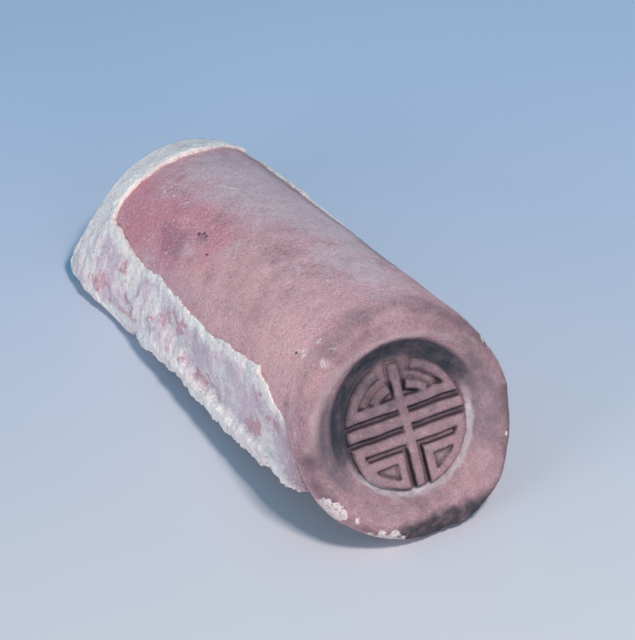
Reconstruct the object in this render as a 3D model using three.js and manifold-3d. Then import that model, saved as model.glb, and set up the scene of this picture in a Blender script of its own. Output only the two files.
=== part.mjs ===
// Eave end tile: a half-round clay barrel closed by a round disc, with the lime bedding mortar
// still stuck along both long edges and round the rear end. Millimetres, +Z up.
// The tile is drawn along its own axis (disc at y = 0, rear end at +y) and then laid down as it
// rests on a floor: on the foot of the disc and on the mortar under the rear of the long edges.
import * as THREE from "three";
import { mergeVertices } from "three/addons/utils/BufferGeometryUtils.js";
import Module from "manifold-3d";

const wasm = await Module();
wasm.setup();

const { degToRad, lerp, smoothstep } = THREE.MathUtils;

// Clay tile
const tileLength = 255; // disc centre to the rear end, along the axis
const frontRadius = 55;
const rearRadius = 59;
const wall = 13;
const discRadius = 56.5;
const discThickness = 16;
const discLean = degToRad(18); // the foot of the disc is forward of its head
const discLift = 1; // disc centre above the barrel's axis
const restTilt = degToRad(12); // disc end raised
const footFlat = 0.6; // height worn off the foot of the disc

// Rim of the disc; depths are measured back from its front plane
const rimCrest = 48;
const recessRadius = 39;
const floorRadius = 34.4;
const recessDepth = 8.6;
const sideFlare = 6.5; // how much further the recess opens at its two sides
const wornFrom = 49; // worn face at the foot of the rim: its start from the disc's centre
const wornSlope = degToRad(51.5); // between the worn face and the disc's axis
const wornTurn = degToRad(178);

// Medallion: rows of bars across a stem, arcs above, framed cells below
const fieldRadius = 31.5;
const fieldDrop = 1; // centre of the medallion below the disc's centre
const ribHeight = 3.4;
const ribDraft = 0.7; // how much wider a rib is at its foot, on each side
const ribRoot = 0.4; // how far a rib is let into the floor
const rowPitch = 8.5;
const rowWidth = 5;
const middleRow = 2.2; // middle row above the medallion's centre
const stemWidth = 4.4;
const cellTop = -12.8;
const cellSide = 5.6;
const panelInset = 4.2;
const panelDepth = 1.5;

// Bedding mortar
const seam = 0.3; // gap between clay and mortar
const coatSteps = 7;
const stationPitch = 7;
const rearOverhang = 7;
const bandThickness = 2.4;
const bandLip = 3.2;
const coatLip = 2.4; // thickness of a coat at its upper edge

// Stations along the tile, each [y, value]: the angle up the flank that the coat reaches, in
// degrees, its thickness at the long edge, and how far it hangs below that edge. The bed is how
// far it reaches in under the edge.
const leftMortar = {
  side: -1,
  reach: [[0, 4], [10, 6], [30, 13], [38, 15], [52, 25], [110, 23], [150, 24], [195, 31], [237, 41]],
  coat: [[0, 3], [80, 4], [150, 5], [205, 8], [260, 9]],
  drop: [[0, 18], [25, 23], [70, 24], [115, 20], [190, 18], [220, 21], [260, 14]],
  bed: 9,
  from: 0,
  to: tileLength + rearOverhang,
};
const rightMortar = {
  side: 1,
  reach: [[70, 8], [115, 20], [155, 33], [210, 39], [252, 39]],
  coat: [[70, 3], [150, 5], [205, 7], [252, 7]],
  drop: [[70, 5], [110, 10], [190, 16], [252, 14]],
  bed: 0.2,
  from: 70,
  to: tileLength - 2,
};

const restPose = new THREE.Matrix4().makeRotationX(-restTilt);
const discPose = new THREE.Matrix4()
  .makeRotationX(-discLean)
  .multiply(new THREE.Matrix4().makeTranslation(0, 0, discLift));

// A closed geometry, drawn in the tile's or the disc's frame, as a solid in the rest pose.
function solid(geometry, pose = new THREE.Matrix4()) {
  const source = geometry.index ? geometry.toNonIndexed() : geometry;
  const bare = new THREE.BufferGeometry();
  bare.setAttribute("position", source.getAttribute("position").clone());
  const merged = mergeVertices(bare, 1e-4);
  merged.applyMatrix4(restPose.clone().multiply(pose));
  const corners = merged.index.array;
  const triangles = [];
  for (let i = 0; i < corners.length; i += 3) {
    const [a, b, c] = corners.subarray(i, i + 3);
    if (a !== b && b !== c && c !== a) triangles.push(a, b, c);
  }
  return new wasm.Manifold(
    new wasm.Mesh({
      numProp: 3,
      vertProperties: merged.attributes.position.array,
      triVerts: new Uint32Array(triangles),
    }),
  );
}

// Triangles over a ring of points, running the same way round as the ring.
function capFaces(ring, outline) {
  const turn = Math.sign(THREE.ShapeUtils.area(outline));
  return THREE.ShapeUtils.triangulateShape(outline, []).map((corners) => {
    const own = Math.sign(THREE.ShapeUtils.area(corners.map((i) => outline[i])));
    const face = corners.map((i) => ring[i]);
    return own === turn ? face : face.reverse();
  });
}

// A closed body through rings of points; outlineOf gives the flat outline of an end ring.
function loft(rings, outlineOf) {
  const faces = [];
  for (let r = 0; r + 1 < rings.length; r++) {
    const [here, next] = [rings[r], rings[r + 1]];
    here.forEach((corner, i) => {
      const j = (i + 1) % here.length;
      faces.push([corner, here[j], next[j]], [corner, next[j], next[i]]);
    });
  }
  const first = rings[0];
  const last = rings[rings.length - 1];
  faces.push(...capFaces(first, outlineOf(first)).map((face) => face.reverse()));
  faces.push(...capFaces(last, outlineOf(last)));
  const volume = faces.reduce((sum, [a, b, c]) => sum + a.dot(b.clone().cross(c)), 0);
  if (volume < 0) faces.forEach((face) => face.reverse());
  return new THREE.BufferGeometry().setFromPoints(faces.flat());
}

function endOn(ring) {
  return ring.map((p) => new THREE.Vector2(p.x, p.z));
}

// Value at y along a list of stations, eased between neighbours.
function along(stations, y) {
  for (let i = 0; i + 1 < stations.length; i++) {
    const [y0, v0] = stations[i];
    const [y1, v1] = stations[i + 1];
    if (y <= y1) return lerp(v0, v1, smoothstep(y, y0, y1));
  }
  return stations[stations.length - 1][1];
}

// Uneven edge of broken mortar, between -1 and 1.
function ragged(y) {
  return 0.5 * Math.sin(0.27 * y) + 0.3 * Math.sin(0.61 * y + 1.7) + 0.2 * Math.sin(1.3 * y + 0.6);
}

function barrelRadius(y) {
  return lerp(frontRadius, rearRadius, y / tileLength);
}

// Half-round barrel, open below and narrowing a little towards the disc.
function barrel() {
  const steps = 48;
  const start = -discRadius * Math.tan(discLean);
  const rings = [start, tileLength].map((y) => {
    const arc = (radius) =>
      Array.from({ length: steps + 1 }, (_, i) => {
        const a = (Math.PI * i) / steps;
        return new THREE.Vector3(radius * Math.cos(a), y, radius * Math.sin(a));
      });
    return [...arc(barrelRadius(y)), ...arc(barrelRadius(y) - wall).reverse()];
  });
  return solid(loft(rings, endOn));
}

// Everything in front of a plane parallel to the disc.
function aheadOfDisc(depth) {
  const size = 400;
  return solid(new THREE.BoxGeometry(size, size, size).translate(0, depth - size / 2, 0), discPose);
}

// Body turned round the disc's axis: outer profile, then crest, recess wall and flat floor. The third
// number of a point is its share of the flare.
function turned(outer) {
  const profile = [
    ...outer,
    [rimCrest, 0, 0.4],
    [recessRadius + 5, 0.2, 0.7],
    [recessRadius + 1, 1.2, 1],
    [floorRadius + 1.2, recessDepth - 2, 0.25],
    [floorRadius, recessDepth],
    [0, recessDepth],
  ].reverse();
  const points = profile.map(([r, y]) => new THREE.Vector2(r, y));
  const body = new THREE.LatheGeometry(points, 72);
  const corners = body.getAttribute("position");
  for (let i = 0; i < corners.count; i++) {
    const share = profile[i % profile.length][2] ?? 0;
    if (share === 0) continue;
    const [x, z] = [corners.getX(i), corners.getZ(i)];
    const radius = Math.hypot(x, z);
    const wider = 1 + (sideFlare * share * (x / radius) ** 2) / radius;
    corners.setX(i, x * wider);
    corners.setZ(i, z * wider);
  }
  return solid(body, discPose);
}

// Blank of the disc, with a rounded rim.
function discBlank() {
  return turned([
    [0, discThickness],
    [discRadius - 2, discThickness],
    [discRadius, discThickness - 2],
    [discRadius, 9],
    [discRadius - 0.6, 5.6],
    [discRadius - 2.4, 2.7],
    [discRadius - 5, 0.8],
  ]);
}

// Space behind the rim's rounded head, where the barrel runs on into it.
function behindHead() {
  return turned([
    [0, 2 * tileLength],
    [tileLength, 2 * tileLength],
    [tileLength, discRadius],
    [discRadius + 5.5, 10],
    [discRadius + 2, 5.6],
    [discRadius - 0.5, 2.7],
    [discRadius - 3.5, 0.8],
  ]);
}

// A point on the medallion at a depth behind the front plane.
function onField(x, z, depth) {
  return new THREE.Vector3(x, depth, z - fieldDrop);
}

// Raised rib along a path of [x, z] points on the medallion.
function rib(path, width) {
  const section = [
    [-width / 2 - ribDraft, recessDepth + ribRoot],
    [-width / 2, recessDepth - ribHeight],
    [width / 2, recessDepth - ribHeight],
    [width / 2 + ribDraft, recessDepth + ribRoot],
  ];
  const rings = path.map(([x, z], i) => {
    const [ax, az] = path[Math.max(i - 1, 0)];
    const [bx, bz] = path[Math.min(i + 1, path.length - 1)];
    const across = new THREE.Vector2(az - bz, bx - ax).normalize();
    return section.map(([w, depth]) => onField(x + w * across.x, z + w * across.y, depth));
  });
  const outline = section.map(([w, depth]) => new THREE.Vector2(w, depth));
  return solid(loft(rings, () => outline), discPose);
}

function arcPath(radius, fromAngle, toAngle, steps = 10) {
  return Array.from({ length: steps + 1 }, (_, i) => {
    const a = degToRad(lerp(fromAngle, toAngle, i / steps));
    return [radius * Math.cos(a), radius * Math.sin(a)];
  });
}

// Block between two depths over the cell left or right of the stem, drawn in by an inset.
function cellBlock(side, inset, front, back) {
  const radius = fieldRadius - inset;
  const top = cellTop - inset;
  const inner = cellSide + inset;
  const start = (Math.asin(top / radius) * 180) / Math.PI;
  const end = (-Math.acos(inner / radius) * 180) / Math.PI;
  const outline = [[inner, top], ...arcPath(radius, start, end)].map(([x, z]) => [side * x, z]);
  const rings = [front, back].map((depth) => outline.map(([x, z]) => onField(x, z, depth)));
  return solid(loft(rings, endOn), discPose);
}

function medallion(blank) {
  const crown = recessDepth - ribHeight;
  let disc = blank;
  for (const row of [1, 0, -1]) {
    const z = middleRow + row * rowPitch;
    const half = Math.sqrt(fieldRadius ** 2 - z ** 2) - 0.6;
    disc = disc.add(rib([[-half, z], [half, z]], rowWidth));
  }
  disc = disc.add(rib([[0, -fieldRadius + 1], [0, fieldRadius - 2]], stemWidth));
  for (const side of [-1, 1]) {
    const mirrored = (path) => path.map(([x, z]) => [side * x, z]);
    disc = disc.add(rib(mirrored(arcPath(fieldRadius - 2.4, 22, 70)), 4.4));
    disc = disc.add(rib(mirrored(arcPath(19.5, 44, 76, 6)), 3.6));
    disc = disc.add(rib(mirrored(arcPath(fieldRadius - 2.4, -13, -28, 4)), 4.4));
    disc = disc.add(cellBlock(side, 0, crown, recessDepth + ribRoot));
    disc = disc.subtract(cellBlock(side, panelInset, crown - 1, crown + panelDepth));
  }
  return disc;
}

// Broken front edge of the rim at its foot, worn to a flat face.
function rimChip() {
  const [length, height, depth] = [60, 16, 30];
  const bite = new THREE.BoxGeometry(length, height, depth).translate(0, height / 2, 0);
  bite.rotateX(Math.PI / 2 + wornSlope).translate(0, 0, wornFrom).rotateY(wornTurn);
  return solid(bite, discPose);
}

// Mortar along one long edge: a coat up the flank and a broken bed hanging below the edge.
function edgeMortar({ side, reach, coat, drop, bed, from, to }) {
  const count = Math.round((to - from) / stationPitch);
  const rings = Array.from({ length: count + 1 }, (_, k) => {
    const y = lerp(from, to, k / count);
    const clay = barrelRadius(y) + seam;
    const top = degToRad(along(reach, y) + 2 * ragged(y + 40));
    const thick = along(coat, y);
    const low = along(drop, y) + 2.5 * ragged(y);
    const ring = [];
    for (let i = 0; i <= coatSteps; i++) {
      const a = (top * i) / coatSteps;
      ring.push([clay * Math.cos(a), clay * Math.sin(a)]);
    }
    for (let i = coatSteps; i >= 0; i--) {
      const a = (top * i) / coatSteps;
      const outer = clay + lerp(thick, coatLip, i / coatSteps) + 0.5 * ragged(3 * y + 9 * i);
      ring.push([outer * Math.cos(a), outer * Math.sin(a)]);
    }
    ring.push([clay + thick * 0.9, -low * 0.5]);
    ring.push([clay + thick * 0.2, -low]);
    ring.push([clay - bed * 0.6, -low * 0.85]);
    ring.push([clay - bed, -low * 0.4]);
    ring.push([clay - bed, -seam]);
    ring.push([clay, -seam]);
    return ring.map(([x, z]) => new THREE.Vector3(side * x, y, z));
  });
  return solid(loft(rings, endOn)).subtract(aheadOfDisc(discThickness + seam));
}

// Thin band of mortar over the rear end, raised along its front edge.
function rearBand() {
  const frontEdge = [[25, 237], [64, 240], [105, 241], [130, 251]];
  const steps = 30;
  const rings = Array.from({ length: steps + 1 }, (_, i) => {
    const angle = lerp(25, 130, i / steps);
    const front = along(frontEdge, angle) + 1.4 * ragged(5 * angle);
    const section = [
      [front, seam],
      [front + 0.8, bandLip],
      [front + 3, bandThickness],
      [tileLength, bandThickness],
      [tileLength, seam],
    ];
    const a = Math.PI - degToRad(angle);
    return section.map(([y, height]) => {
      const radius = barrelRadius(y) + height;
      return new THREE.Vector3(radius * Math.cos(a), y, radius * Math.sin(a));
    });
  });
  const sideOn = (ring) => ring.map((p) => new THREE.Vector2(p.y, Math.hypot(p.x, p.z)));
  return solid(loft(rings, sideOn));
}

// Everything below the floor; the foot of the disc is worn flat on it.
function belowFloor() {
  const foot = new THREE.Vector3(0, discThickness - 2, -discRadius);
  foot.applyMatrix4(discPose).applyMatrix4(restPose);
  const size = 600;
  const ground = new THREE.BoxGeometry(size, size, size);
  ground.translate(0, 0, foot.z + footFlat - size / 2);
  return solid(ground, restPose.clone().invert());
}

const ground = belowFloor();
const pieces = {
  tile: barrel()
    .intersect(behindHead())
    .add(medallion(discBlank()))
    .subtract(rimChip())
    .subtract(ground),
  mortar_left: edgeMortar(leftMortar).add(rearBand()).subtract(ground),
  mortar_right: edgeMortar(rightMortar).subtract(ground),
};

const clay = new THREE.MeshStandardMaterial({ color: 0xb98a92, roughness: 0.85, metalness: 0 });
const lime = new THREE.MeshStandardMaterial({ color: 0xcfc6cc, roughness: 0.95, metalness: 0 });

const group = new THREE.Group();
for (const [name, piece] of Object.entries(pieces)) {
  const { vertProperties, triVerts } = piece.getMesh();
  const geometry = new THREE.BufferGeometry();
  geometry.setAttribute("position", new THREE.BufferAttribute(vertProperties, 3));
  geometry.setIndex(new THREE.BufferAttribute(triVerts, 1));
  geometry.computeVertexNormals();
  const mesh = new THREE.Mesh(geometry, (name === "tile" ? clay : lime).clone());
  mesh.name = name;
  group.add(mesh);
}

// The part's origin is under the middle of its box, on the floor.
const box = new THREE.Box3().setFromObject(group);
const middle = box.getCenter(new THREE.Vector3());
for (const mesh of group.children) {
  mesh.geometry.translate(-middle.x, -middle.y, -box.min.z);
}

export default group;
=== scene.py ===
import math

import bpy
from mathutils import Matrix, Vector


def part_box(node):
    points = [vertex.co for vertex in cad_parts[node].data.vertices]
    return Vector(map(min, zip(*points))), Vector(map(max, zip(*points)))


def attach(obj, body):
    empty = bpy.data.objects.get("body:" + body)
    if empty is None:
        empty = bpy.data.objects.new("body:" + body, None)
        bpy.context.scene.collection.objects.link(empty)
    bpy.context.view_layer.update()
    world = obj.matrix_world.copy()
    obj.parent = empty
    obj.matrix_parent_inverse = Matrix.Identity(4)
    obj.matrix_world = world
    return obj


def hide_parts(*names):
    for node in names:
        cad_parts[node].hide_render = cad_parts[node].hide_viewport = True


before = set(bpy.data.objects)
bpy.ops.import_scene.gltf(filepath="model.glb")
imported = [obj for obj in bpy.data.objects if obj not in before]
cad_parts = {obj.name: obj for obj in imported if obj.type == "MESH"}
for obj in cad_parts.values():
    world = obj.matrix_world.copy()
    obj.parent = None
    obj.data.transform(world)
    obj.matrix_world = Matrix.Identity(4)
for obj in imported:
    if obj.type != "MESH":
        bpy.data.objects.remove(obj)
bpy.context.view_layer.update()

MM = 0.001

# Cells of the grids that the meshes are drawn from, in millimetres.
CLAY_CELL = (0.82, 0.68, 0.82)
MORTAR_CELL = (0.8, 0.85, 0.5)

# Tile sizes in millimetres and degrees, in the tile's own frame: x to the right, y from the disc
# to the rear end along the barrel's axis, z up.
TILE_SIZES = {
    "Length": 255,
    "Front radius": 55,
    "Rear radius": 59,
    "Wall": 13,
    "Disc radius": 56.5,
    "Disc thickness": 16,
    "Disc lift": 1,
    "Recess floor": 34.4,
    "Recess slope": 0.76,
    "Side flare": 0.9,
    "Worn from": 49,
    "Recess depth": 8.6,
    "Field radius": 31.5,
    "Field drop": 1,
    "Rib height": 3.4,
    "Row pitch": 8.5,
    "Row width": 5,
    "Middle row": 2.2,
    "Stem width": 4.4,
}
DISC_LEAN = math.radians(18)
REST_TILT = math.radians(12)
FOOT_FLAT = 0.6
FOOT_BEVEL = 2
CELL_TOP = -12.8
CELL_SIDE = 5.6
PANEL_INSET = 4.2
PANEL_DEPTH = 1.5

# Bent bars of the medallion, each as radius, width, and degrees from its start to its end.
BENT_BARS = [[29.1, 4.4, 22, 70], [19.5, 3.6, 44, 76], [29.1, 4.4, -28, -13]]

UNDERCUT = 0.5
WORN_SIDE = math.radians(-88)
WORN_SLOPE = math.radians(51.5)
SWOLLEN_SIDE = math.radians(-58)
SOOT_AND_SHADE_SIDE = math.radians(105)
LEFT_SMOKE_AND_SHADE = math.radians(176)
RIGHT_SMOKE_AND_SHADE = math.radians(0)

# Bedding mortar, with stations along the tile as [y, value]: degrees up the flank that it reaches,
# thickness of the bead at the long edge, how far it hangs below that edge, where the bead gives way
# to a thin film, how far above that it stays thick, and the film. Then its raised lip, how far it
# goes in under the edge, its rear end, and the band round the tile's rear as [degrees, y].
LEFT_MORTAR = {
    "name": "mortar_left",
    "side": -1,
    "reach": [[5, -3], [9, 0], [14, 9], [26, 12], [40, 19], [56, 26], [72, 25.5], [91, 24], [114, 23],
              [135, 24], [155, 27], [178, 28.5], [200, 28.5], [222, 32], [238, 36.5], [242, 38]],
    "coat": [[8, 1], [30, 2.5], [80, 4.5], [150, 6], [175, 7], [195, 5.5], [215, 6.5], [236, 11],
             [260, 11]],
    "drop": [[4, 22], [13, 23], [25, 26], [45, 24], [90, 24], [115, 20], [150, 15], [190, 13],
             [220, 19], [260, 14]],
    "bead": [[8, -30], [15, -22], [38, -15], [70, -12], [120, -6], [170, 0]],
    "thick_to": [[60, 3], [120, 5], [170, 20], [220, 44]],
    "film": [[180, 0.4], [225, 2]],
    "lip": 0.55,
    "bed": 9,
    "end": 261,
    "band": [[25, 236], [50, 240], [66, 238], [84, 238], [102, 240], [127, 252]],
    "band_reach": 131,
    "seed": 3,
}
RIGHT_MORTAR = {
    "name": "mortar_right",
    "side": 1,
    "reach": [[60, -9], [70, 4], [115, 20], [155, 33], [210, 38], [252, 38]],
    "coat": [[70, 3], [150, 5], [205, 6.5], [252, 6.5]],
    "drop": [[60, -4], [70, 4], [110, 9], [190, 15], [252, 13]],
    "bead": [[70, 0], [250, 0]],
    "thick_to": [[70, 10], [150, 34], [200, 50]],
    "film": [[70, 0.3], [150, 0.4]],
    "lip": 0.3,
    "bed": 0,
    "end": 253,
    "band": None,
    "seed": 8,
}

# Patches on the barrel, each as [y, degrees up from the left edge, half length, half width in degrees].
CRIMSON_PATCHES = [[205, 52, 48, 20], [165, 62, 38, 18]]
SALMON_PATCHES = [[70, 40, 65, 18], [120, 52, 45, 18]]
HAZE_PATCHES = [[180, 104, 60, 30], [120, 118, 55, 24], [70, 104, 40, 16]]
# The last two smudges, long bands along the right flank, are painted shade where the barrel turns from
# the light; the others are real smudges.
SMUDGES_AND_SHADE = [[174, 49, 18, 9], [19, 76, 8, 12], [158, 58, 8, 5], [190, 136, 75, 12], [100, 138, 60, 11]]

# Marks on the barrel: spots as [y, degrees, radius], scratches between two places with half a width.
LIME_SPOTS = [[28.4, 46.5, 2.2], [33, 44.3, 1.5], [25.5, 55.3, 1.3], [14.5, 48.5, 1.9], [16, 57, 2.0],
              [14.5, 60, 1.9], [9.4, 69, 2.0], [3.9, 73, 1.7], [-1.5, 74.3, 1.5], [98, 38, 0.9],
              [140, 72, 0.7], [60, 82, 0.8], [206, 66, 0.8], [176, 40, 0.7]]
PITS = [[163, 59, 1.1], [160, 61, 1.2], [144, 53, 1.0], [33, 44, 1.1], [157, 60, 0.8]]
SCRATCHES = [[[194, 85], [182, 93], 0.3], [[214, 62], [216, 66], 0.3], [[196, 64], [192, 68], 0.3]]

# Lime left on the disc, each at [radius, degrees from the right] with its own radius.
DISC_LIME = [[54.5, -150, 3.2], [55, -145.5, 3.0], [55.5, -155, 2.2], [52.5, -137, 1.3],
             [55, -121, 2.2], [54.5, -114, 3.2], [56, -109, 2.6], [56.5, -125, 2.0],
             [56.5, -117, 2.2], [56, 24, 1.6], [56, 28, 1.6], [56, -20, 1.6], [52, -24, 1.0],
             [55.5, -30, 1.4]]

# Camera fitted to the photograph's outline.
FRAME_LONG_SIDE = 640
FOCAL_PIXELS = 2400
CAMERA_AZIMUTH = math.radians(-27.33)
CAMERA_ELEVATION = math.radians(38.03)
CAMERA_ROLL = math.radians(-0.89)
CAMERA_DISTANCE = 1.23663
CAMERA_TARGET = Vector((0.01364, 0, 0.03024))


def tint(red, green, blue):
    """Shader colour of a paint given in screen values."""
    parts = [part / 255 for part in (red, green, blue)]
    return (*[((part + 0.055) / 1.055) ** 2.4 for part in parts], 1)


CLAY = tint(198, 148, 155)
CLAY_WARM = tint(206, 156, 160)
CLAY_PALE = tint(226, 193, 198)
CLAY_DARK = tint(140, 100, 110)
SALMON = tint(213, 161, 161)
CRIMSON = tint(204, 127, 139)
HAZE = tint(210, 187, 194)
SMUDGE_AND_SHADE = tint(134, 98, 108)
SMOKE_AND_SHADE = tint(104, 92, 102)
BROKEN_EDGE_AND_SHADE = tint(76, 67, 73)
GROOVE_SHADE_AND_DIRT = tint(56, 46, 56)
SOOT_AND_SHADE = tint(54, 55, 65)
DUST = tint(196, 180, 188)
PIT = tint(70, 50, 60)
LIME = tint(246, 231, 227)
MORTAR = tint(224, 204, 203)
MORTAR_GREY = tint(180, 170, 172)
FILM = tint(212, 182, 192)
STAIN = tint(204, 142, 152)
SMEAR = tint(180, 144, 153)
SPECK = tint(60, 54, 60)
SPECK_PITCH = 4.5


class Field:
    """A number at every point of a node tree. Arithmetic on it adds math nodes to the tree."""

    def __init__(self, graph, socket):
        self.graph = graph
        self.socket = socket

    def __add__(self, other):
        return self.graph.math("ADD", self, other)

    __radd__ = __add__

    def __sub__(self, other):
        return self.graph.math("SUBTRACT", self, other)

    def __rsub__(self, other):
        return self.graph.math("SUBTRACT", other, self)

    def __mul__(self, other):
        return self.graph.math("MULTIPLY", self, other)

    __rmul__ = __mul__

    def __truediv__(self, other):
        return self.graph.math("DIVIDE", self, other)

    def __neg__(self):
        return self.graph.math("MULTIPLY", self, -1)

    def __abs__(self):
        return self.graph.math("ABSOLUTE", self)


class Graph:
    """Short words for building a node tree."""

    def __init__(self, tree):
        self.tree = tree

    def add(self, kind, **settings):
        node = self.tree.nodes.new(kind)
        for name, value in settings.items():
            setattr(node, name, value)
        return node

    def feed(self, socket, value):
        if isinstance(value, Field):
            self.tree.links.new(value.socket, socket)
        elif isinstance(value, bpy.types.NodeSocket):
            self.tree.links.new(value, socket)
        else:
            socket.default_value = value

    def math(self, operation, *values):
        node = self.add("ShaderNodeMath", operation=operation)
        for socket, value in zip(node.inputs, values):
            self.feed(socket, value)
        return Field(self, node.outputs[0])

    def vector(self, x, y, z):
        node = self.add("ShaderNodeCombineXYZ")
        for socket, value in zip(node.inputs, (x, y, z)):
            self.feed(socket, value)
        return node.outputs[0]

    def parts(self, vector):
        node = self.add("ShaderNodeSeparateXYZ")
        self.feed(node.inputs[0], vector)
        return [Field(self, socket) for socket in node.outputs]

    def largest(self, first, *others):
        for other in others:
            first = self.math("MAXIMUM", first, other)
        return first

    def smallest(self, first, *others):
        for other in others:
            first = self.math("MINIMUM", first, other)
        return first

    def smooth_largest(self, a, b, blend):
        return self.math("SMOOTH_MAX", a, b, blend)

    def smooth_smallest(self, a, b, blend):
        return self.math("SMOOTH_MIN", a, b, blend)

    def hypot(self, a, b):
        return self.math("SQRT", a * a + b * b)

    def ramp(self, value, start, end, low=0, high=1, smooth=True):
        node = self.add("ShaderNodeMapRange")
        node.interpolation_type = "SMOOTHSTEP" if smooth else "LINEAR"
        node.clamp = True
        for socket, number in zip(node.inputs, (value, start, end, low, high)):
            self.feed(socket, number)
        return Field(self, node.outputs["Result"])

    def along(self, value, stations):
        """Value read off stations [place, value], straight between neighbours."""
        total = stations[0][1]
        for (p0, v0), (p1, v1) in zip(stations, stations[1:]):
            total = self.ramp(value, p0, p1, 0, v1 - v0, smooth=False) + total
        return total

    def noise(self, point, size, detail=2, seed=0, rough=0.5):
        """Noise about zero, mostly within half a unit, with lumps of that size."""
        node = self.add("ShaderNodeTexNoise")
        self.feed(node.inputs["Vector"], self.shifted(point, size, seed))
        node.inputs["Scale"].default_value = 1 / size
        node.inputs["Detail"].default_value = detail
        node.inputs["Roughness"].default_value = rough
        return (Field(self, node.outputs["Fac"]) - 0.5) * 2

    def specks(self, point, size):
        """Scattered points of about that spacing: half in the middle of each, less around it."""
        node = self.add("ShaderNodeTexVoronoi")
        self.feed(node.inputs["Vector"], point)
        node.inputs["Scale"].default_value = 1 / size
        return 0.5 - Field(self, node.outputs["Distance"])

    def shifted(self, point, size, seed):
        """The place from which a pattern is read, so that each seed has its own."""
        node = self.add("ShaderNodeVectorMath", operation="ADD")
        self.feed(node.inputs[0], point)
        node.inputs[1].default_value = (seed * 31.7 * size, seed * 17.3 * size, seed * 23.1 * size)
        return node.outputs[0]

    def size(self, label):
        return TILE_SIZES[label]

    def attribute(self, name):
        node = self.add("ShaderNodeAttribute", attribute_name=name)
        return Field(self, node.outputs["Fac"])

    def blend(self, share, under, over):
        """Colour between two others by a share."""
        node = self.add("ShaderNodeMix", data_type="RGBA", clamp_factor=True)
        self.feed(node.inputs["Factor"], share)
        for socket, colour in ((node.inputs[6], under), (node.inputs[7], over)):
            self.feed(socket, colour)
        return node.outputs[2]


class FieldTree(Graph):
    """A geometry tree with one named input for each size in millimetres."""

    def __init__(self, name, sizes):
        super().__init__(bpy.data.node_groups.new(name, "GeometryNodeTree"))
        face = self.tree.interface
        face.new_socket("Geometry", in_out="OUTPUT", socket_type="NodeSocketGeometry")
        self.values = {}
        for label, value in sizes.items():
            socket = face.new_socket(label, in_out="INPUT", socket_type="NodeSocketFloat")
            self.values[socket.identifier] = float(value)
        self.inputs = self.add("NodeGroupInput")

    def size(self, label):
        return Field(self, self.inputs.outputs[label])

    def position(self):
        return self.parts(self.add("GeometryNodeInputPosition").outputs[0])

    def normal(self):
        return self.parts(self.add("GeometryNodeInputNormal").outputs[0])

    def step(self, kind, geometry, **inputs):
        """One geometry node after another; inputs are named with underscores for spaces."""
        node = self.add(kind)
        if geometry is not None:
            self.feed(node.inputs[0], geometry)
        for name, value in inputs.items():
            self.feed(node.inputs[name.replace("_", " ")], value)
        return node.outputs[0]

    def solid(self, distance, low, high, cells):
        """Closed mesh round the points where a distance is below zero, from a grid of cells."""
        grid = self.step("GeometryNodeVolumeCube", None, Density=1 - distance, Min=low, Max=high,
                         Resolution_X=cells[0], Resolution_Y=cells[1], Resolution_Z=cells[2])
        return self.step("GeometryNodeVolumeToMesh", grid, Threshold=1.0)

    def move(self, geometry, x, y, z):
        return self.step("GeometryNodeSetPosition", geometry, Position=self.vector(x, y, z))

    def push(self, geometry, distance):
        """Every point moved along its normal."""
        offset = self.vector(*[part * distance for part in self.normal()])
        return self.step("GeometryNodeSetPosition", geometry, Offset=offset)

    def store(self, geometry, name, value):
        return self.step("GeometryNodeStoreNamedAttribute", geometry, Name=name, Value=value)

    def rest(self, geometry):
        """From the tile's own frame in millimetres to the part's frame at rest in metres."""
        return self.step("GeometryNodeTransform", geometry, Translation=rest_place(),
                         Rotation=(-REST_TILT, 0, 0), Scale=(MM, MM, MM))

    def finish(self, name, geometry, material):
        """Runs the tree on an empty object and keeps the result as a plain mesh."""
        geometry = self.step("GeometryNodeSetShadeSmooth", geometry)
        geometry = self.step("GeometryNodeRealizeInstances", geometry)
        geometry = self.step("GeometryNodeSetMaterial", geometry, Material=material)
        self.feed(self.add("NodeGroupOutput").inputs[0], geometry)
        piece = bpy.data.objects.new(name, bpy.data.meshes.new(name))
        bpy.context.collection.objects.link(piece)
        modifier = piece.modifiers.new(name, "NODES")
        modifier.node_group = self.tree
        for identifier, value in self.values.items():
            modifier[identifier] = value
        depsgraph = bpy.context.evaluated_depsgraph_get()
        mesh = bpy.data.meshes.new_from_object(piece.evaluated_get(depsgraph), depsgraph=depsgraph)
        piece.modifiers.remove(modifier)
        piece.data = mesh
        mesh.name = name
        if not mesh.materials:
            mesh.materials.append(material)
        return piece


def floor_level():
    """Height of the floor in the tile's turned frame: the foot of the disc is worn flat on it."""
    turn = DISC_LEAN + REST_TILT
    depth = TILE_SIZES["Disc thickness"] - FOOT_BEVEL
    drop = TILE_SIZES["Disc radius"] - TILE_SIZES["Disc lift"]
    return FOOT_FLAT - depth * math.sin(turn) - drop * math.cos(turn)


def rest_place():
    """Where the tile's own origin lies in the part's frame, read off the tile's box."""
    high = Vector(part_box("tile")[1])
    rear = TILE_SIZES["Length"] * math.cos(REST_TILT) + TILE_SIZES["Rear radius"] * math.sin(REST_TILT)
    return Vector((high.x - TILE_SIZES["Rear radius"] * MM, high.y - rear * MM, -floor_level() * MM))


def below_floor(y, z):
    """How far a point lies below the floor, in the tile's own frame."""
    return floor_level() - (z * math.cos(REST_TILT) - y * math.sin(REST_TILT))


def in_disc(t, y, z):
    """Depth behind the disc's front plane, and height from the disc's centre."""
    depth = y * math.cos(DISC_LEAN) - z * math.sin(DISC_LEAN)
    rise = y * math.sin(DISC_LEAN) + z * math.cos(DISC_LEAN) - t.size("Disc lift")
    return depth, rise


def barrel_radius(t, y):
    front = t.size("Front radius")
    return front + (t.size("Rear radius") - front) * (y / t.size("Length"))


def clay_angle(t, x, z):
    """Degrees round the barrel from its left edge."""
    return t.math("ARCTAN2", z, -x) * math.degrees(1)


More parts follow.
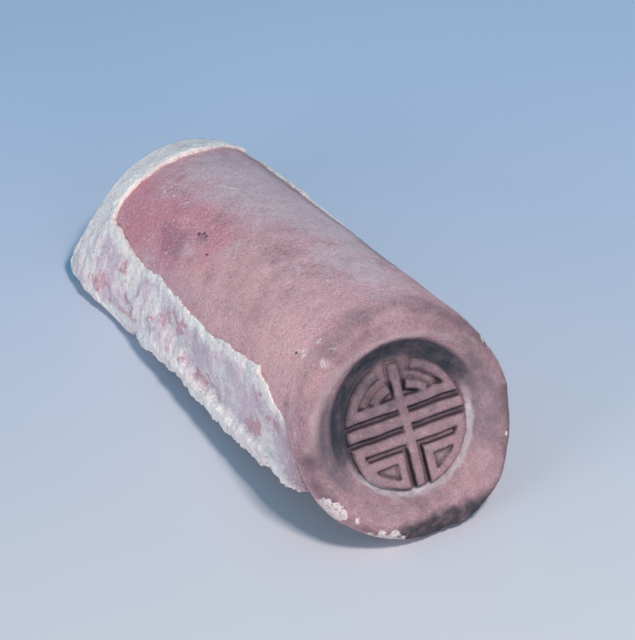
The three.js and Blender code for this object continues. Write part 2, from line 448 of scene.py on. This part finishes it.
def arc_rib(t, x, z, radius, width, start, end):
    """Flat distance to a bar bent along an arc, the same on both sides of the stem."""
    across = abs(t.hypot(x, z) - radius) - width / 2
    start, end = math.radians(start), math.radians(end)
    side = abs(x)
    after = side * math.sin(start) - z * math.cos(start)
    before = z * math.cos(end) - side * math.sin(end)
    return t.largest(across, after, before)


def medallion(t, body, x, depth, rise):
    """Raised bars on the floor of the recess, and framed sunk panels below them."""
    z = rise + t.size("Field drop")
    side = abs(x)
    radius = t.hypot(x, z)
    field = t.size("Field radius")
    row = (z - t.size("Middle row")) / t.size("Row pitch")
    nearest = t.math("MAXIMUM", t.math("MINIMUM", t.math("ROUND", row), 1), -1)
    rows = abs(row - nearest) * t.size("Row pitch") - t.size("Row width") / 2
    stem = t.largest(side - t.size("Stem width") / 2, z - field + 2, -z - field + 1)
    cells = t.largest(z - CELL_TOP, CELL_SIDE - side, radius - field)
    flat = t.smallest(
        t.largest(rows, radius - field + 0.6),
        stem,
        cells,
        *[arc_rib(t, x, z, *bar) for bar in BENT_BARS],
    )
    crown = t.size("Recess depth") - t.size("Rib height")
    below = depth - crown
    bars = t.smooth_largest(flat - below * 0.2, -below, 2.2)
    bars = t.largest(bars, below - t.size("Rib height") - 1)
    body = t.smooth_smallest(body, bars, 0.9)
    panels = t.largest(z - CELL_TOP, CELL_SIDE - side, radius - field) + PANEL_INSET
    sunk = t.smooth_largest(panels, below - PANEL_DEPTH, 1.2)
    return t.smooth_largest(body, -sunk, 1.0)


def toward(t, x, rise, direction):
    """How nearly a place on the disc lies in a direction: one straight along it, zero square to it."""
    return (x * math.cos(direction) + rise * math.sin(direction)) / t.hypot(x, rise)


def recess_slope(t, x, radius):
    """How far the recess's wall spreads for each millimetre of height: most at the two sides."""
    side = x / radius
    return t.size("Recess slope") + t.size("Side flare") * (side * side)


def worn_face(t, x, depth, rise):
    """Height of a place above the flat face worn on the foot of the rim."""
    below = x * math.cos(WORN_SIDE) + rise * math.sin(WORN_SIDE)
    return (below - t.size("Worn from")) * math.cos(WORN_SLOPE) - depth * math.sin(WORN_SLOPE)


def tile_distance(t, x, y, z):
    """Distance to the clay, below zero inside: half-round barrel, leaning disc, recess, medallion."""
    outer = barrel_radius(t, y)
    axis = t.hypot(x, z)
    barrel = t.largest(axis - outer, outer - t.size("Wall") - axis)
    barrel = t.smooth_largest(barrel, -z, 5)
    barrel = t.smooth_largest(barrel, y - t.size("Length"), 5)
    depth, rise = in_disc(t, y, z)
    barrel = t.smooth_largest(barrel, -depth, 21)
    radius = t.hypot(x, rise)
    swell = t.ramp(toward(t, x, rise, SWOLLEN_SIDE), 0.9, 1) * 1.8
    rounding = t.ramp(rise, -40, 0, 12, 21)
    disc = t.smooth_largest(radius - t.size("Disc radius") - swell, -depth, rounding)
    disc = t.smooth_largest(disc, depth - t.size("Disc thickness"), 5)
    body = t.smooth_smallest(barrel, disc, t.ramp(rise, -12, 18, 12, 5))
    slope = recess_slope(t, x, radius)
    wall = radius - t.size("Recess floor") - (t.size("Recess depth") - depth) * slope
    wall = wall / t.hypot(slope, 1)
    hollow = t.smooth_largest(wall, depth - t.size("Recess depth"), 2)
    body = t.smooth_largest(body, -hollow, 2.4)
    slip = t.noise(t.vector(x, y, z), 16, 1, 2)
    body = medallion(t, body, x + slip, depth, rise + slip)
    body = t.smooth_largest(body, worn_face(t, x, depth, rise), 1)
    return t.largest(body, below_floor(y, z))


def spot(t, along_tile, round_tile, place, reach, edge, rough):
    """One inside a spot of that radius, fading over an edge; rough wanders its outline."""
    distance = t.hypot(along_tile - place[0], round_tile - place[1]) + rough
    return 1 - t.ramp(distance, reach - edge, reach + edge)


def stroke(t, along_tile, round_tile, start, end, width, rough):
    """One on a thin straight mark between two places; rough wanders its outline."""
    a, b = Vector(start), Vector(end)
    way = (b - a).normalized()
    half = (b - a).length / 2
    forward = (along_tile - a.x) * way.x + (round_tile - a.y) * way.y
    aside = (along_tile - a.x) * -way.y + (round_tile - a.y) * way.x
    outside = t.largest(abs(aside) - width, abs(forward - half) - half)
    return t.ramp(outside + rough, -0.4, 0.6, 1, 0)


def patches(t, along_tile, angle, places, rough):
    """Largest of several soft oval patches [y, degrees, half length, half width in degrees]."""
    shares = []
    for y, centre, half_length, half_width in places:
        oval = t.hypot((along_tile - y) / half_length, (angle - centre) / half_width) + rough
        shares.append(1 - t.ramp(oval, 0.5, 1.3))
    return t.largest(*shares)


def tile(material):
    t = FieldTree("half-round tile with its disc", TILE_SIZES)
    length = TILE_SIZES["Length"]
    shear = math.tan(DISC_LEAN)
    fine_front = 20
    stretch = 5
    fine_rear = 4
    packed = (length - fine_front - fine_rear) / stretch

    # The grid leans with the disc, stands square at the rear end, and is drawn out in between.
    x, layer, z = t.position()
    drawn = t.math("MINIMUM", t.math("MAXIMUM", layer - fine_front, 0), packed)
    back = layer + drawn * (stretch - 1)
    y = back + z * shear * (1 - back / length)
    low = (-62, -3, -59)
    high = (62, fine_front + packed + fine_rear + 3, 62.5)
    cells = [round((b - a) / pitch) for a, b, pitch in zip(low, high, CLAY_CELL)]
    clay = t.solid(tile_distance(t, x, y, z), low, high, cells)
    clay = t.move(clay, x, y, z)
    for _ in range(2):
        clay = t.push(clay, -tile_distance(t, *t.position()))

    # Wear and the maker's uneven surface.
    x, y, z = t.position()
    point = t.vector(x, y, z)
    depth, rise = in_disc(t, y, z)
    radius = t.hypot(x, rise)
    uneven = t.noise(point, 34, 2, 11) * 1.1 + t.noise(point, 9, 2, 12) * 0.55
    uneven = uneven + t.noise(point, 2.4, 2, 13) * 0.22
    calm = 1 - t.ramp(radius, 30, 36, 0.5, 0) * t.ramp(depth, 8, 12, 1, 0)
    lifted = t.ramp(-below_floor(y, z), 0.2, 3)
    rough = uneven * calm + worn_rim(t, x, depth, rise) * t.noise(point, 3.2, 3, 14) * 1.5
    clay = t.push(clay, rough * lifted)

    # How closed in each place is, for painted shade in creases, grooves and the recess, and for the
    # dirt that gathers there.
    x, y, z = t.position()
    nx, ny, nz = t.normal()
    reach = 2.6
    open_air = tile_distance(t, x + nx * reach, y + ny * reach, z + nz * reach)
    clay = t.store(clay, "hollow", t.ramp(open_air, reach * 0.3, reach * 1.0, 1, 0))
    return t.finish("tile_clay", t.rest(clay), material)


def worn_rim(t, x, depth, rise):
    """Share of the broken lower edge of the disc at a place."""
    return t.ramp(worn_face(t, x, depth, rise), -1.6, -0.6) * t.ramp(depth, 10, 14, 1, 0)


def mortar_cover(t, shape, flat, s, y):
    """How far a place lies beyond the mortar's upper and front edge, below zero where it is covered."""
    seed = shape["seed"]
    to_arc = barrel_radius(t, y) * math.radians(1)
    ragged = t.noise(flat, 18, 4, seed, 0.65) * 5.5
    cover = s - t.along(y, shape["reach"]) * to_arc - ragged
    if not shape["band"]:
        return cover
    band = t.largest(t.along(s / to_arc, shape["band"]) - y, s - to_arc * shape["band_reach"])
    return t.smallest(cover, band - ragged * 0.7)


def bead_top(t, shape, flat, y):
    """Where the heavy bead below the tile gives way to the thin film on its flank."""
    return t.along(y, shape["bead"]) - t.noise(flat, 7, 3, shape["seed"] + 8) * 3.5


def mortar_height(t, shape, flat, s, y, inside):
    """Thickness of the mortar: a thin film, raised along its edge, heavy on the bed below the tile."""
    seed = shape["seed"]
    lumps = t.noise(flat, 9, 4, seed + 4, 0.65)
    patchy = t.along(y, [[190, 1], [225, 0.3]])
    film = t.noise(flat, 17, 4, seed + 5, 0.6) * 1.5 * patchy
    lip = t.ramp(inside, 3, 15, 1, 0)
    heavy = t.along(y, shape["thick_to"])
    thinned = t.ramp(s, 95, 132, 1, 0.3)
    above = s - bead_top(t, shape, flat, y)
    bed = t.along(y, shape["coat"]) * t.ramp(above, -4, heavy, 1, 0) * (lumps * 0.3 + 1)
    edge = lip * (lumps * 1.5 + shape["lip"])
    return film + edge + bed + t.along(y, shape["film"]) * thinned


def mortar_distance(t, shape, s, y, n):
    """Distance to the mortar unrolled from the clay: s up the flank, y along it, n away from it."""
    seed = shape["seed"]
    flat = t.vector(s, y, 0)
    cover = mortar_cover(t, shape, flat, s, y)
    height = mortar_height(t, shape, flat, s, y, -cover)
    drop = t.along(y, shape["drop"]) + t.noise(flat, 12, 4, seed + 2, 0.7) * 10
    outward = t.math("MAXIMUM", n, 0)
    body = t.smooth_largest((n - height) * 0.85, cover, 0.7)
    body = t.smooth_largest(body, outward * UNDERCUT - drop - s, 4)
    under_edge = t.largest(n + 0.4, -0.3 - s)
    body = t.largest(body, -n - shape["bed"] - 0.4, -under_edge)
    up, _ = wrapped(t, s, y, n)
    depth = y * math.cos(DISC_LEAN) - up * math.sin(DISC_LEAN)
    rear = t.along(s, [[0, shape["end"]], [20, min(shape["end"], TILE_SIZES["Length"] + 0.5)]])
    rear = rear - t.ramp(n, -2, 0, 9, 0) + t.noise(t.vector(s, 0, n), 7, 3, seed + 9) * 1.5
    ends = t.largest(t.size("Disc thickness") + 0.2 - depth, y - rear)
    return t.largest(body, ends, below_floor(y, up) + outward * UNDERCUT)


def wrapped(t, s, y, n):
    """Height and distance from the middle plane of an unrolled point laid back on the flank."""
    around = barrel_radius(t, y)
    turn = t.math("MAXIMUM", s, 0) / around
    up = (around + n) * t.math("SINE", turn) + t.math("MINIMUM", s, 0)
    return up, (around + n) * t.math("COSINE", turn)


def mortar(shape, material):
    t = FieldTree(shape["name"].replace("_", " on the "), TILE_SIZES)
    s, y, n = t.position()
    top = max(angle for _, angle in shape["reach"])
    if shape["band"]:
        top = shape["band_reach"]
    first = shape["reach"][0][0]
    low = (-max(drop for _, drop in shape["drop"]) - 6, first - 3, -shape["bed"] - 1.5)
    high = (math.radians(top) * TILE_SIZES["Rear radius"] + 6, shape["end"] + 2, 13)
    cells = [round((b - a) / pitch) for a, b, pitch in zip(low, high, MORTAR_CELL)]
    lime = t.solid(mortar_distance(t, shape, s, y, n), low, high, cells)
    lime = t.push(lime, -mortar_distance(t, shape, s, y, n))
    s, y, n = t.position()
    flat = t.vector(s, y, 0)
    inside = t.noise(flat, 5, 4, shape["seed"] + 12) * 5 - mortar_cover(t, shape, flat, s, y)
    above = s - bead_top(t, shape, flat, y)
    lime = t.store(lime, "bed", t.ramp(above, -4, 2, 1, 0))
    filmy = t.ramp(above, -2, 2.5) * t.ramp(inside, 3, 7.5) * t.ramp(y, 228, 240, 1, 0.25)
    lime = t.store(lime, "flank", filmy)
    up, out = wrapped(t, s, y, n)
    lime = t.move(lime, out * shape["side"], y, up)
    if shape["side"] > 0:
        lime = t.step("GeometryNodeFlipFaces", lime)
    return t.finish(shape["name"] + "_lime", t.rest(lime), material)


def new_material(name, roughness):
    """A matt material, its shader, and the place on it in the tile's own frame in millimetres."""
    material = bpy.data.materials.new(name)
    material.use_nodes = True
    g = Graph(material.node_tree)
    shader = material.node_tree.nodes["Principled BSDF"]
    shader.inputs["Roughness"].default_value = roughness
    shader.inputs["Specular IOR Level"].default_value = 0.25
    own = g.add("ShaderNodeMapping")
    g.feed(own.inputs["Vector"], g.add("ShaderNodeTexCoord").outputs["Object"])
    back = Matrix.Rotation(REST_TILT, 3, "X")
    own.inputs["Location"].default_value = back @ rest_place() / -MM
    own.inputs["Rotation"].default_value = (REST_TILT, 0, 0)
    own.inputs["Scale"].default_value = (1 / MM, 1 / MM, 1 / MM)
    return material, g, shader, own.outputs[0]


def grain(g, shader, point, sizes, depth):
    """Bump from noise of several sizes in millimetres, each with its own share."""
    height = 0
    for index, (size, share) in enumerate(sizes):
        height = g.noise(point, size, 3, 40 + index) * share + height
    bump = g.add("ShaderNodeBump")
    bump.inputs["Strength"].default_value = 1
    bump.inputs["Distance"].default_value = depth * MM
    g.feed(bump.inputs["Height"], height)
    g.feed(shader.inputs["Normal"], bump.outputs[0])


def barrel_wear(g, point, colour):
    """Stains, wiped haze, lime spots, scratches and pits on the outside of the barrel, and painted
    shade along its right flank.
    """
    x, y, z = g.parts(point)
    _, rise = in_disc(g, y, z)
    outside = g.ramp(g.hypot(x, z) - barrel_radius(g, y), -5, -3) * g.ramp(g.hypot(x, rise), 42, 50)
    angle = clay_angle(g, x, z)
    to_arc = math.radians(TILE_SIZES["Front radius"])
    arc = angle * to_arc
    wander = g.noise(point, 20, 4, 21)
    crumbly = g.noise(point, 2, 3, 22) * 1.8
    wiped = g.vector((y * 0.6 + arc * 0.8) / 12, (arc * 0.6 - y * 0.8) / 2.2, 0)
    streaks = g.noise(wiped, 1, 3, 23)
    # Colour patches; the smudge patches include painted shade along the right flank.
    for places, paint, most in ((SALMON_PATCHES, SALMON, 0.7), (CRIMSON_PATCHES, CRIMSON, 0.8),
                                (HAZE_PATCHES, HAZE, 0.55), (SMUDGES_AND_SHADE, SMUDGE_AND_SHADE, 0.45)):
        share = patches(g, y, angle, places, wander) * outside * most
        colour = g.blend(share * (streaks * 0.7 + 1), colour, paint)
    colour = g.blend(g.ramp(streaks + wander * 0.5, 0.15, 0.6) * outside * 0.25, colour, HAZE)
    scuffed = g.vector((y * 0.94 - arc * 0.34) / 9, (arc * 0.94 + y * 0.34) / 1.3, 0)
    scuffs = g.ramp(g.noise(scuffed, 1, 3, 28) + wander * 0.5, 0.22, 0.55)
    colour = g.blend(scuffs * outside * 0.4, colour, CLAY_PALE)
    marks = [spot(g, y, arc, (p, a * to_arc), reach, 0.5, crumbly) for p, a, reach in LIME_SPOTS]
    for (p0, a0), (p1, a1), width in SCRATCHES:
        marks.append(stroke(g, y, arc, (p0, a0 * to_arc), (p1, a1 * to_arc), width, crumbly * 0.5))
    broken = g.ramp(g.noise(point, 1.7, 3, 26), -0.3, 0.15) * 0.8
    colour = g.blend(g.largest(*marks) * outside * broken, colour, LIME)
    pits = [spot(g, y, arc, (p, a * to_arc), reach, 0.5, crumbly) for p, a, reach in PITS]
    return g.blend(g.largest(*pits) * outside * 0.85, colour, PIT)


def disc_wear(g, point, colour):
    """Painted shade with soot in the upper recess and on its side walls, painted shade over the face,
    in closed-in places and on the broken edge, a painted highlight on the upper crest, dust, and lime
    on the rim.
    """
    x, y, z = g.parts(point)
    depth, rise = in_disc(g, y, z)
    radius = g.hypot(x, rise)
    front = g.ramp(depth, 9, 14, 1, 0)
    mottle = g.noise(point, 6, 4, 24)
    crumbly = g.noise(point, 2.2, 3, 25) * 2.2
    toward_soot_and_shade = toward(g, x, rise, SOOT_AND_SHADE_SIDE)
    beyond = radius - g.size("Recess floor") + mottle * 1.5
    wall = beyond / (recess_slope(g, x, radius) * (g.size("Recess depth") - 1))
    # Painted highlight, with the wear of the crest: a pale band along the crest of the recess's mouth
    # on the upper side.
    crest = g.ramp(wall, 0.95, 1.1) * g.ramp(wall, 1.2, 1.7, 1, 0) * g.ramp(toward_soot_and_shade, 0, 0.6)
    colour = g.blend(crest * front * (mottle * 0.8 + 0.5), colour, CLAY_PALE)
    # Painted shade, with soot: the left and right walls of the recess are darkened.
    smoke_and_shade_sides = g.largest(g.ramp(toward(g, x, rise, LEFT_SMOKE_AND_SHADE), 0.8, 0.97, 0, 1),
                      g.ramp(toward(g, x, rise, RIGHT_SMOKE_AND_SHADE), 0.72, 0.94, 0, 0.75))
    side_smoke_and_shade = smoke_and_shade_sides * g.ramp(wall, 0.9, 1.4, 1, 0) * g.ramp(beyond, -1, 2)
    colour = g.blend(side_smoke_and_shade * front * (mottle * 0.6 + 0.8), colour, SMOKE_AND_SHADE)
    # Painted shade, with weathering grime: a darker veil over the front of the disc, which stands in
    # for less light falling on it than on the barrel's top.
    veil = g.ramp(depth, 5, 18, 1, 0) * g.ramp(radius, 44, 54, 0.5, 0.4)
    colour = g.blend(veil * (mottle * 0.5 + 1), colour, SMOKE_AND_SHADE)
    # Painted shade on the broken clay: the worn face at the foot of the rim, turned down from the
    # light, is darkened.
    worn = g.ramp(worn_face(g, x, depth, rise) + mottle, -4, -0.4) * g.ramp(depth, 10, 14, 1, 0)
    colour = g.blend(worn * (mottle * 0.6 + 0.9), colour, BROKEN_EDGE_AND_SHADE)
    # Painted shade, with some grime: the medallion's field is darkened, most on the upper side.
    field = g.ramp(radius, 33, 36, 1, 0) * front
    field_shade_and_grime = g.ramp(toward_soot_and_shade * radius, -16, 26, 0.16, 0.56)
    colour = g.blend(field * field_shade_and_grime * (mottle * 0.8 + 1), colour, SOOT_AND_SHADE)
    # Painted shade, with the dirt that gathers there: closed-in places such as the grooves between the
    # bars are darkened.
    colour = g.blend(g.attribute("hollow") * 0.92, colour, GROOVE_SHADE_AND_DIRT)
    # Painted shade, with soot: the upper wall of the recess, turned from the light under the rim, is
    # darkened.
    ring = g.ramp(radius, 29, 33) * g.ramp(beyond, 4.5, 7.5, 1, 0)
    shaded = g.ramp(toward_soot_and_shade, -0.3, 0.3) * front * (mottle * 0.4 + 0.92)
    colour = g.blend(shaded * ring, colour, SOOT_AND_SHADE)
    swept = g.ramp(-toward_soot_and_shade, -0.1, 0.5) * g.ramp(beyond, -2, -0.5) * g.ramp(beyond, 1, 3, 1, 0)
    colour = g.blend(swept * front * (mottle * 0.8 + 0.7), colour, DUST)
    marks = []
    for reach, turn, size in DISC_LIME:
        place = (reach * math.cos(math.radians(turn)), reach * math.sin(math.radians(turn)))
        marks.append(spot(g, x, rise, place, size, 0.4, crumbly))
    broken = g.ramp(g.noise(point, 1.9, 3, 27), -0.35, 0.05, 0.2, 0.92)
    return g.blend(g.largest(*marks) * front * broken, colour, MORTAR)


def fired_clay():
    material, g, shader, point = new_material("fired_clay", 0.85)
    broad = g.noise(point, 45, 3, 1)
    mottle = g.noise(point, 6, 4, 2)
    fine = g.noise(point, 1.0, 4, 3)
    colour = g.blend(broad + 0.5, CLAY, CLAY_WARM)
    colour = g.blend(g.ramp(mottle, 0.05, 0.5) * 0.5, colour, CLAY_PALE)
    colour = g.blend(g.ramp(mottle, -0.05, -0.5) * 0.4, colour, CLAY_DARK)
    colour = barrel_wear(g, point, colour)
    colour = g.blend(g.ramp(fine, 0.08, 0.45) * 0.7, colour, CLAY_PALE)
    colour = g.blend(g.ramp(fine, -0.08, -0.45) * 0.75, colour, CLAY_DARK)
    colour = disc_wear(g, point, colour)
    g.feed(shader.inputs["Base Color"], colour)
    grain(g, shader, point, [(0.9, 0.5), (2.6, 0.6), (0.4, 0.25)], 0.5)
    return material


def lime_mortar():
    material, g, shader, point = new_material("lime_mortar", 0.92)
    broad = g.noise(point, 24, 4, 5)
    mottle = g.noise(point, 4.5, 4, 6)
    fine = g.noise(point, 1.1, 3, 7)
    flank = g.attribute("flank")
    bed = g.attribute("bed")
    colour = g.blend(broad + mottle + 0.6, MORTAR, LIME)
    colour = g.blend(flank * g.ramp(broad + mottle * 0.4, -0.2, 0.12) * 0.92, colour, FILM)
    x, y, z = g.parts(point)
    stain = g.noise(g.vector(x, y * 0.5, z), 11, 3, 8) + mottle * 0.4
    colour = g.blend(flank * g.ramp(stain, 0.12, 0.3) * 0.85, colour, STAIN)
    smeared = g.ramp(y, 14, 38, 0.95, 0) * g.ramp(mottle + broad, -0.4, 0.05)
    colour = g.blend(smeared * (1 - bed), colour, SMEAR)
    grey = g.noise(point, 12, 3, 9) + mottle * 0.3
    colour = g.blend(flank * g.ramp(grey, 0.2, 0.42) * 0.6, colour, MORTAR_GREY)
    colour = g.blend(g.ramp(fine, -0.05, -0.4) * 0.6, colour, MORTAR_GREY)
    colour = g.blend(g.ramp(fine, 0.1, 0.45) * 0.6, colour, LIME)
    speck = g.ramp(g.specks(point, SPECK_PITCH), 0.36, 0.44)
    colour = g.blend(speck * bed, colour, SPECK)
    g.feed(shader.inputs["Base Color"], colour)
    grain(g, shader, point, [(0.8, 0.5), (2.2, 0.6), (0.35, 0.25)], 0.6)
    return material


def floor():
    """Pale sheet under the part, a little deeper in colour away from the camera."""
    half = 6
    mesh = bpy.data.meshes.new("floor")
    corners = [(-half, -half, 0), (half, -half, 0), (half, half, 0), (-half, half, 0)]
    mesh.from_pydata(corners, [], [(0, 1, 2, 3)])
    sheet = bpy.data.objects.new("floor", mesh)
    bpy.context.collection.objects.link(sheet)
    material, g, shader, point = new_material("pale_sheet", 0.9)
    x, y, _ = g.parts(point)
    away = y * math.cos(CAMERA_AZIMUTH) - x * math.sin(CAMERA_AZIMUTH)
    colour = g.blend(g.ramp(away, -200, 420), tint(194, 189, 195), tint(180, 189, 213))
    g.feed(shader.inputs["Base Color"], colour)
    mesh.materials.append(material)


def soft_box(name, place, target, side, watts, colour):
    lamp = bpy.data.lights.new(name, "AREA")
    lamp.shape = "SQUARE"
    lamp.size = side
    lamp.energy = watts
    lamp.color = colour
    holder = bpy.data.objects.new(name, lamp)
    bpy.context.collection.objects.link(holder)
    place, target = Vector(place), Vector(target)
    aim = (target - place).to_track_quat("-Z", "Y").to_matrix().to_4x4()
    holder.matrix_world = Matrix.Translation(place) @ aim


def studio_light():
    world = bpy.data.worlds.new("studio")
    world.use_nodes = True
    shader = world.node_tree.nodes["Background"]
    shader.inputs["Color"].default_value = (0.13, 0.67, 1.0, 1)
    shader.inputs["Strength"].default_value = 0.48
    bpy.context.scene.world = world
    soft_box("key", (0.1, -0.78, 1.35), (0, 0, 0.03), 0.22, 19.6, (1.0, 0.88, 0.775))
    soft_box("left", (-1.25, -0.4, 0.36), (0, 0, 0.05), 0.6, 7.8, (0.98, 0.92, 0.88))
    soft_box("front", (-0.3, -1.4, 0.4), (0, 0, 0.03), 0.6, 3.7, (1.0, 0.92, 0.86))


def camera():
    lens = bpy.data.cameras.new("camera")
    lens.sensor_width = 36
    lens.lens = FOCAL_PIXELS * lens.sensor_width / FRAME_LONG_SIDE
    lens.clip_end = 20
    holder = bpy.data.objects.new("camera", lens)
    bpy.context.collection.objects.link(holder)
    flat = math.cos(CAMERA_ELEVATION)
    right = Vector((math.cos(CAMERA_AZIMUTH), math.sin(CAMERA_AZIMUTH), 0))
    back = Vector((right.y * flat, -right.x * flat, math.sin(CAMERA_ELEVATION)))
    up = back.cross(right)
    across = right * math.cos(CAMERA_ROLL) + up * math.sin(CAMERA_ROLL)
    turned = Matrix((across, back.cross(across), back)).transposed().to_4x4()
    holder.matrix_world = Matrix.Translation(CAMERA_TARGET + back * CAMERA_DISTANCE) @ turned
    bpy.context.scene.camera = holder


def keep(piece, node):
    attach(piece, "root")
    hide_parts(node)


bpy.context.scene.view_settings.view_transform = "Standard"
clay = fired_clay()
lime = lime_mortar()
keep(tile(clay), "tile")
for shape in (LEFT_MORTAR, RIGHT_MORTAR):
    keep(mortar(shape, lime), shape["name"])
floor()
studio_light()
camera()
